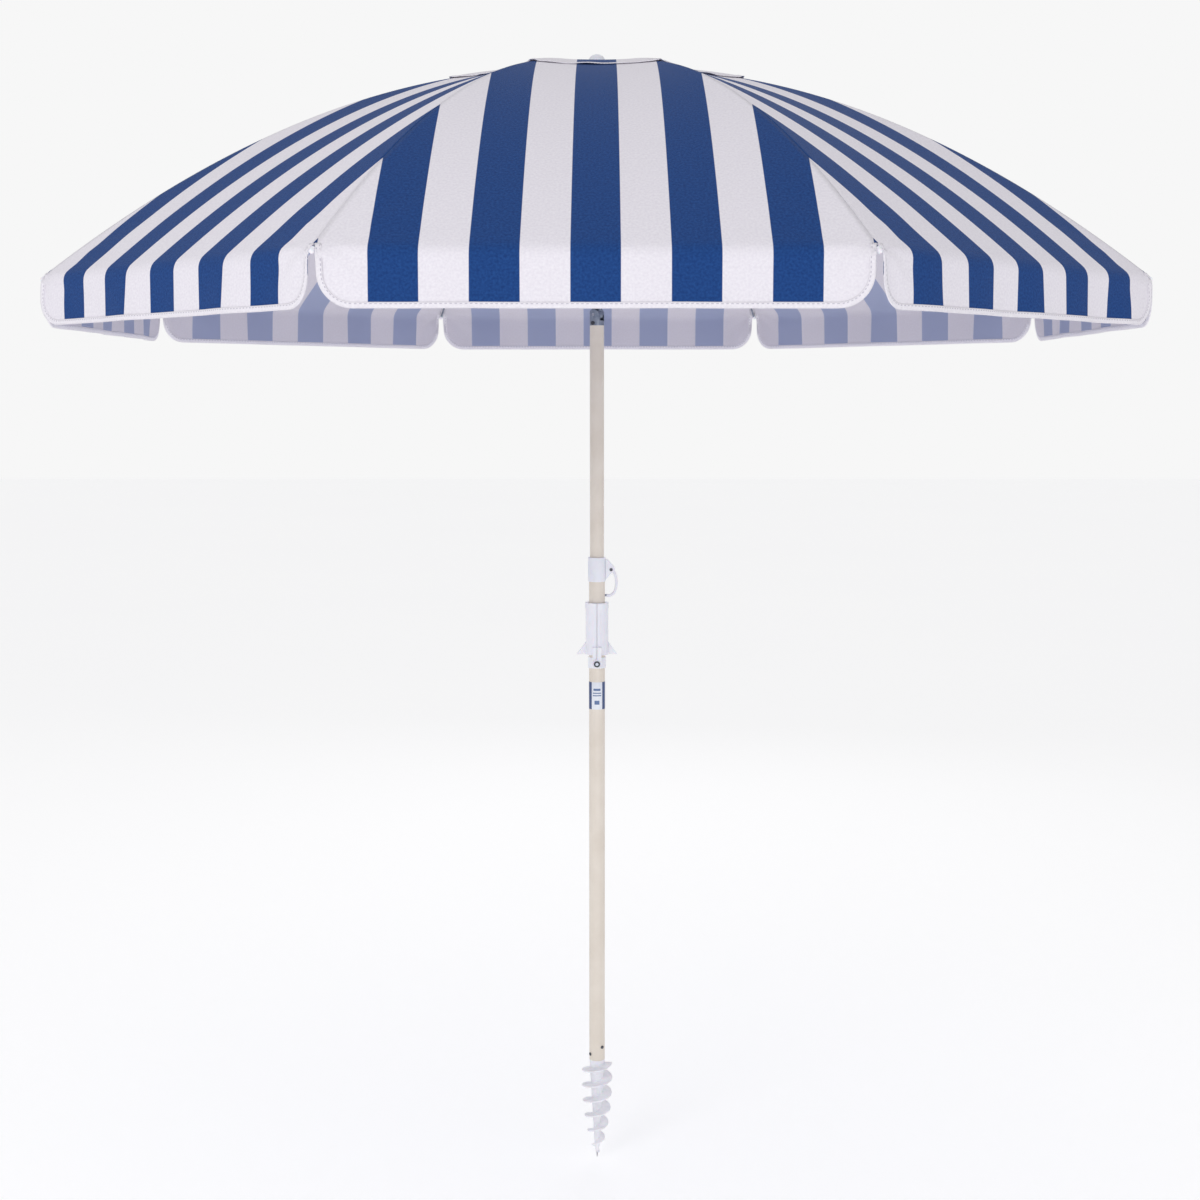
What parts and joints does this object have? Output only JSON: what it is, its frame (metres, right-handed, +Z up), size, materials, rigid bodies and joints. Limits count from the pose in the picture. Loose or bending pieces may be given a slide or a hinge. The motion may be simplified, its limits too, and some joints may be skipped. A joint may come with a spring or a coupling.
{
  "type": "beach umbrella",
  "caption": "Striped navy and white beach umbrella with eight folding ribs, a vented top, a tilt joint, a telescoping pole with a latch lever, two screw-in handles and a plastic auger sand anchor.",
  "frame": {"origin": "point of the sand anchor, on the pole's axis", "axes": "+Z up along the pole; +X to the latch lever's side; -Y is the front, which one canopy panel faces"},
  "size_m": [1.907, 1.907, 2.216],
  "materials": {
    "canopy_fabric": "matte",
    "cream_paint": "satin",
    "white_plastic": "satin",
    "galvanised_steel": "satin",
    "dark_steel": "satin",
    "label": "gloss"
  },
  "bodies": {
    "lower_pole": {"lower_pole": "cream_paint", "sand_anchor": "white_plastic", "anchor_screws": "dark_steel", "pole_collar": "white_plastic", "lever_rivet": "dark_steel", "handle_mount": "white_plastic", "handle_rivets": "dark_steel", "pole_label": "label"},
    "latch_lever": {"latch_lever": "white_plastic", "latch_pin": "galvanised_steel", "lever_spring": "galvanised_steel"},
    "handle_left": {"handle_left": "white_plastic"},
    "handle_right": {"handle_right": "white_plastic"},
    "upper_pole": {"upper_pole": "cream_paint", "pole_end_plug": "white_plastic", "tilt_socket": "galvanised_steel", "tilt_pin": "galvanised_steel"},
    "tilt_button": {"tilt_button": "dark_steel"},
    "canopy_head": {"tilt_tongue": "galvanised_steel", "top_pole": "cream_paint", "crown": "white_plastic", "crown_wire": "galvanised_steel", "finial": "white_plastic", "vent_cap": "canopy_fabric"},
    "runner": {"runner": "white_plastic"},
    "runner_catch": {"runner_catch": "white_plastic"},
    "rib_1": {"rib_1": "galvanised_steel", "rib_fittings_1": "white_plastic"},
    "strut_1": {"strut_1": "galvanised_steel"},
    "panel_1": {"canopy_panel_1": "canopy_fabric"},
    "rib_2": {"rib_2": "galvanised_steel", "rib_fittings_2": "white_plastic"},
    "strut_2": {"strut_2": "galvanised_steel"},
    "panel_2": {"canopy_panel_2": "canopy_fabric"},
    "rib_3": {"rib_3": "galvanised_steel", "rib_fittings_3": "white_plastic"},
    "strut_3": {"strut_3": "galvanised_steel"},
    "panel_3": {"canopy_panel_3": "canopy_fabric"},
    "rib_4": {"rib_4": "galvanised_steel", "rib_fittings_4": "white_plastic"},
    "strut_4": {"strut_4": "galvanised_steel"},
    "panel_4": {"canopy_panel_4": "canopy_fabric"},
    "rib_5": {"rib_5": "galvanised_steel", "rib_fittings_5": "white_plastic"},
    "strut_5": {"strut_5": "galvanised_steel"},
    "panel_5": {"canopy_panel_5": "canopy_fabric"},
    "rib_6": {"rib_6": "galvanised_steel", "rib_fittings_6": "white_plastic"},
    "strut_6": {"strut_6": "galvanised_steel"},
    "panel_6": {"canopy_panel_6": "canopy_fabric"},
    "rib_7": {"rib_7": "galvanised_steel", "rib_fittings_7": "white_plastic"},
    "strut_7": {"strut_7": "galvanised_steel"},
    "panel_7": {"canopy_panel_7": "canopy_fabric"},
    "rib_8": {"rib_8": "galvanised_steel", "rib_fittings_8": "white_plastic"},
    "strut_8": {"strut_8": "galvanised_steel"},
    "panel_8": {"canopy_panel_8": "canopy_fabric"}
  },
  "joints": [
    {"name": "height_slide", "type": "slide", "parent": "lower_pole", "child": "upper_pole", "axis": [0, 0, 1], "range_m": [-0.18, 0]},
    {"name": "canopy_tilt", "type": "hinge", "parent": "upper_pole", "child": "canopy_head", "pos_m": [0, 0, 1.724], "axis": [0.5736, 0.8192, 0], "range_deg": [-30, 0]},
    {"name": "tilt_button_press", "type": "slide", "parent": "upper_pole", "child": "tilt_button", "axis": [0.5736, 0.8192, 0], "range_m": [0, 0.002], "stiffness_N_per_m": 800},
    {"name": "runner_slide", "type": "slide", "parent": "canopy_head", "child": "runner", "axis": [0, 0, -1], "range_m": [0, 0.63517], "deforming": ["canopy_panel_1", "canopy_panel_2", "canopy_panel_3", "canopy_panel_4", "canopy_panel_5", "canopy_panel_6", "canopy_panel_7", "canopy_panel_8", "vent_cap"]},
    {"name": "runner_catch_pull", "type": "slide", "parent": "runner", "child": "runner_catch", "axis": [1, 0, 0], "range_m": [0, 0.006], "stiffness_N_per_m": 600},
    {"name": "latch_lever_pull", "type": "hinge", "parent": "lower_pole", "child": "latch_lever", "pos_m": [0.028, 0, 1.225], "axis": [0, 1, 0], "range_deg": [-25, 0], "stiffness_Nm_per_rad": 0.6},
    {"name": "handle_left_fold", "type": "hinge", "parent": "lower_pole", "child": "handle_left", "pos_m": [0, 0, 1.0385], "axis": [0, 1, 0], "range_deg": [-90, 0]},
    {"name": "handle_right_fold", "type": "hinge", "parent": "lower_pole", "child": "handle_right", "pos_m": [0, 0, 1.0385], "axis": [0, 1, 0], "range_deg": [0, 90]},
    {"name": "rib_fold_1", "type": "hinge", "parent": "canopy_head", "child": "rib_1", "pos_m": [0.00995, -0.02402, 2.17973], "axis": [0.9239, 0.3827, 0], "range_deg": [0, 62.01]},
    {"name": "strut_fold_1", "type": "hinge", "parent": "rib_1", "child": "strut_1", "pos_m": [0.16688, -0.40287, 2.09237], "axis": [-0.9239, -0.3827, 0], "range_deg": [0, 124.61]},
    {"name": "panel_fold_1", "type": "hinge", "parent": "rib_1", "child": "panel_1", "pos_m": [0.0199, -0.0199, 2.17973], "axis": [-0.6182, 0.6182, -0.4854], "range_deg": [0, 45.48]},
    {"name": "rib_fold_2", "type": "hinge", "parent": "canopy_head", "child": "rib_2", "pos_m": [0.02402, -0.00995, 2.17973], "axis": [0.3827, 0.9239, 0], "range_deg": [0, 62.01]},
    {"name": "strut_fold_2", "type": "hinge", "parent": "rib_2", "child": "strut_2", "pos_m": [0.40287, -0.16688, 2.09237], "axis": [-0.3827, -0.9239, 0], "range_deg": [0, 124.61]},
    {"name": "panel_fold_2", "type": "hinge", "parent": "rib_2", "child": "panel_2", "pos_m": [0.02814, 0, 2.17973], "axis": [-0.8743, 0, -0.4854], "range_deg": [0, 45.48]},
    {"name": "rib_fold_3", "type": "hinge", "parent": "canopy_head", "child": "rib_3", "pos_m": [0.02402, 0.00995, 2.17973], "axis": [-0.3827, 0.9239, 0], "range_deg": [0, 62.01]},
    {"name": "strut_fold_3", "type": "hinge", "parent": "rib_3", "child": "strut_3", "pos_m": [0.40287, 0.16688, 2.09237], "axis": [0.3827, -0.9239, 0], "range_deg": [0, 124.61]},
    {"name": "panel_fold_3", "type": "hinge", "parent": "rib_3", "child": "panel_3", "pos_m": [0.0199, 0.0199, 2.17973], "axis": [-0.6182, -0.6182, -0.4854], "range_deg": [0, 45.48]},
    {"name": "rib_fold_4", "type": "hinge", "parent": "canopy_head", "child": "rib_4", "pos_m": [0.00995, 0.02402, 2.17973], "axis": [-0.9239, 0.3827, 0], "range_deg": [0, 62.01]},
    {"name": "strut_fold_4", "type": "hinge", "parent": "rib_4", "child": "strut_4", "pos_m": [0.16688, 0.40287, 2.09237], "axis": [0.9239, -0.3827, 0], "range_deg": [0, 124.61]},
    {"name": "panel_fold_4", "type": "hinge", "parent": "rib_4", "child": "panel_4", "pos_m": [0, 0.02814, 2.17973], "axis": [0, -0.8743, -0.4854], "range_deg": [0, 45.48]},
    {"name": "rib_fold_5", "type": "hinge", "parent": "canopy_head", "child": "rib_5", "pos_m": [-0.00995, 0.02402, 2.17973], "axis": [-0.9239, -0.3827, 0], "range_deg": [0, 62.01]},
    {"name": "strut_fold_5", "type": "hinge", "parent": "rib_5", "child": "strut_5", "pos_m": [-0.16688, 0.40287, 2.09237], "axis": [0.9239, 0.3827, 0], "range_deg": [0, 124.61]},
    {"name": "panel_fold_5", "type": "hinge", "parent": "rib_5", "child": "panel_5", "pos_m": [-0.0199, 0.0199, 2.17973], "axis": [0.6182, -0.6182, -0.4854], "range_deg": [0, 45.48]},
    {"name": "rib_fold_6", "type": "hinge", "parent": "canopy_head", "child": "rib_6", "pos_m": [-0.02402, 0.00995, 2.17973], "axis": [-0.3827, -0.9239, 0], "range_deg": [0, 62.01]},
    {"name": "strut_fold_6", "type": "hinge", "parent": "rib_6", "child": "strut_6", "pos_m": [-0.40287, 0.16688, 2.09237], "axis": [0.3827, 0.9239, 0], "range_deg": [0, 124.61]},
    {"name": "panel_fold_6", "type": "hinge", "parent": "rib_6", "child": "panel_6", "pos_m": [-0.02814, 0, 2.17973], "axis": [0.8743, 0, -0.4854], "range_deg": [0, 45.48]},
    {"name": "rib_fold_7", "type": "hinge", "parent": "canopy_head", "child": "rib_7", "pos_m": [-0.02402, -0.00995, 2.17973], "axis": [0.3827, -0.9239, 0], "range_deg": [0, 62.01]},
    {"name": "strut_fold_7", "type": "hinge", "parent": "rib_7", "child": "strut_7", "pos_m": [-0.40287, -0.16688, 2.09237], "axis": [-0.3827, 0.9239, 0], "range_deg": [0, 124.61]},
    {"name": "panel_fold_7", "type": "hinge", "parent": "rib_7", "child": "panel_7", "pos_m": [-0.0199, -0.0199, 2.17973], "axis": [0.6182, 0.6182, -0.4854], "range_deg": [0, 45.48]},
    {"name": "rib_fold_8", "type": "hinge", "parent": "canopy_head", "child": "rib_8", "pos_m": [-0.00995, -0.02402, 2.17973], "axis": [0.9239, -0.3827, 0], "range_deg": [0, 62.01]},
    {"name": "strut_fold_8", "type": "hinge", "parent": "rib_8", "child": "strut_8", "pos_m": [-0.16688, -0.40287, 2.09237], "axis": [-0.9239, 0.3827, 0], "range_deg": [0, 124.61]},
    {"name": "panel_fold_8", "type": "hinge", "parent": "rib_8", "child": "panel_8", "pos_m": [0, -0.02814, 2.17973], "axis": [0, 0.8743, -0.4854], "range_deg": [0, 45.48]}
  ],
  "couplings": [
    {"joint": "rib_fold_1", "follows": "runner_slide", "rad_per_m": 1.7036},
    {"joint": "strut_fold_1", "follows": "runner_slide", "rad_per_m": 3.4237},
    {"joint": "panel_fold_1", "follows": "runner_slide", "rad_per_m": 1.2494},
    {"joint": "rib_fold_2", "follows": "runner_slide", "rad_per_m": 1.7036},
    {"joint": "strut_fold_2", "follows": "runner_slide", "rad_per_m": 3.4237},
    {"joint": "panel_fold_2", "follows": "runner_slide", "rad_per_m": 1.2494},
    {"joint": "rib_fold_3", "follows": "runner_slide", "rad_per_m": 1.7036},
    {"joint": "strut_fold_3", "follows": "runner_slide", "rad_per_m": 3.4237},
    {"joint": "panel_fold_3", "follows": "runner_slide", "rad_per_m": 1.2494},
    {"joint": "rib_fold_4", "follows": "runner_slide", "rad_per_m": 1.7036},
    {"joint": "strut_fold_4", "follows": "runner_slide", "rad_per_m": 3.4237},
    {"joint": "panel_fold_4", "follows": "runner_slide", "rad_per_m": 1.2494},
    {"joint": "rib_fold_5", "follows": "runner_slide", "rad_per_m": 1.7036},
    {"joint": "strut_fold_5", "follows": "runner_slide", "rad_per_m": 3.4237},
    {"joint": "panel_fold_5", "follows": "runner_slide", "rad_per_m": 1.2494},
    {"joint": "rib_fold_6", "follows": "runner_slide", "rad_per_m": 1.7036},
    {"joint": "strut_fold_6", "follows": "runner_slide", "rad_per_m": 3.4237},
    {"joint": "panel_fold_6", "follows": "runner_slide", "rad_per_m": 1.2494},
    {"joint": "rib_fold_7", "follows": "runner_slide", "rad_per_m": 1.7036},
    {"joint": "strut_fold_7", "follows": "runner_slide", "rad_per_m": 3.4237},
    {"joint": "panel_fold_7", "follows": "runner_slide", "rad_per_m": 1.2494},
    {"joint": "rib_fold_8", "follows": "runner_slide", "rad_per_m": 1.7036},
    {"joint": "strut_fold_8", "follows": "runner_slide", "rad_per_m": 3.4237},
    {"joint": "panel_fold_8", "follows": "runner_slide", "rad_per_m": 1.2494}
  ]
}
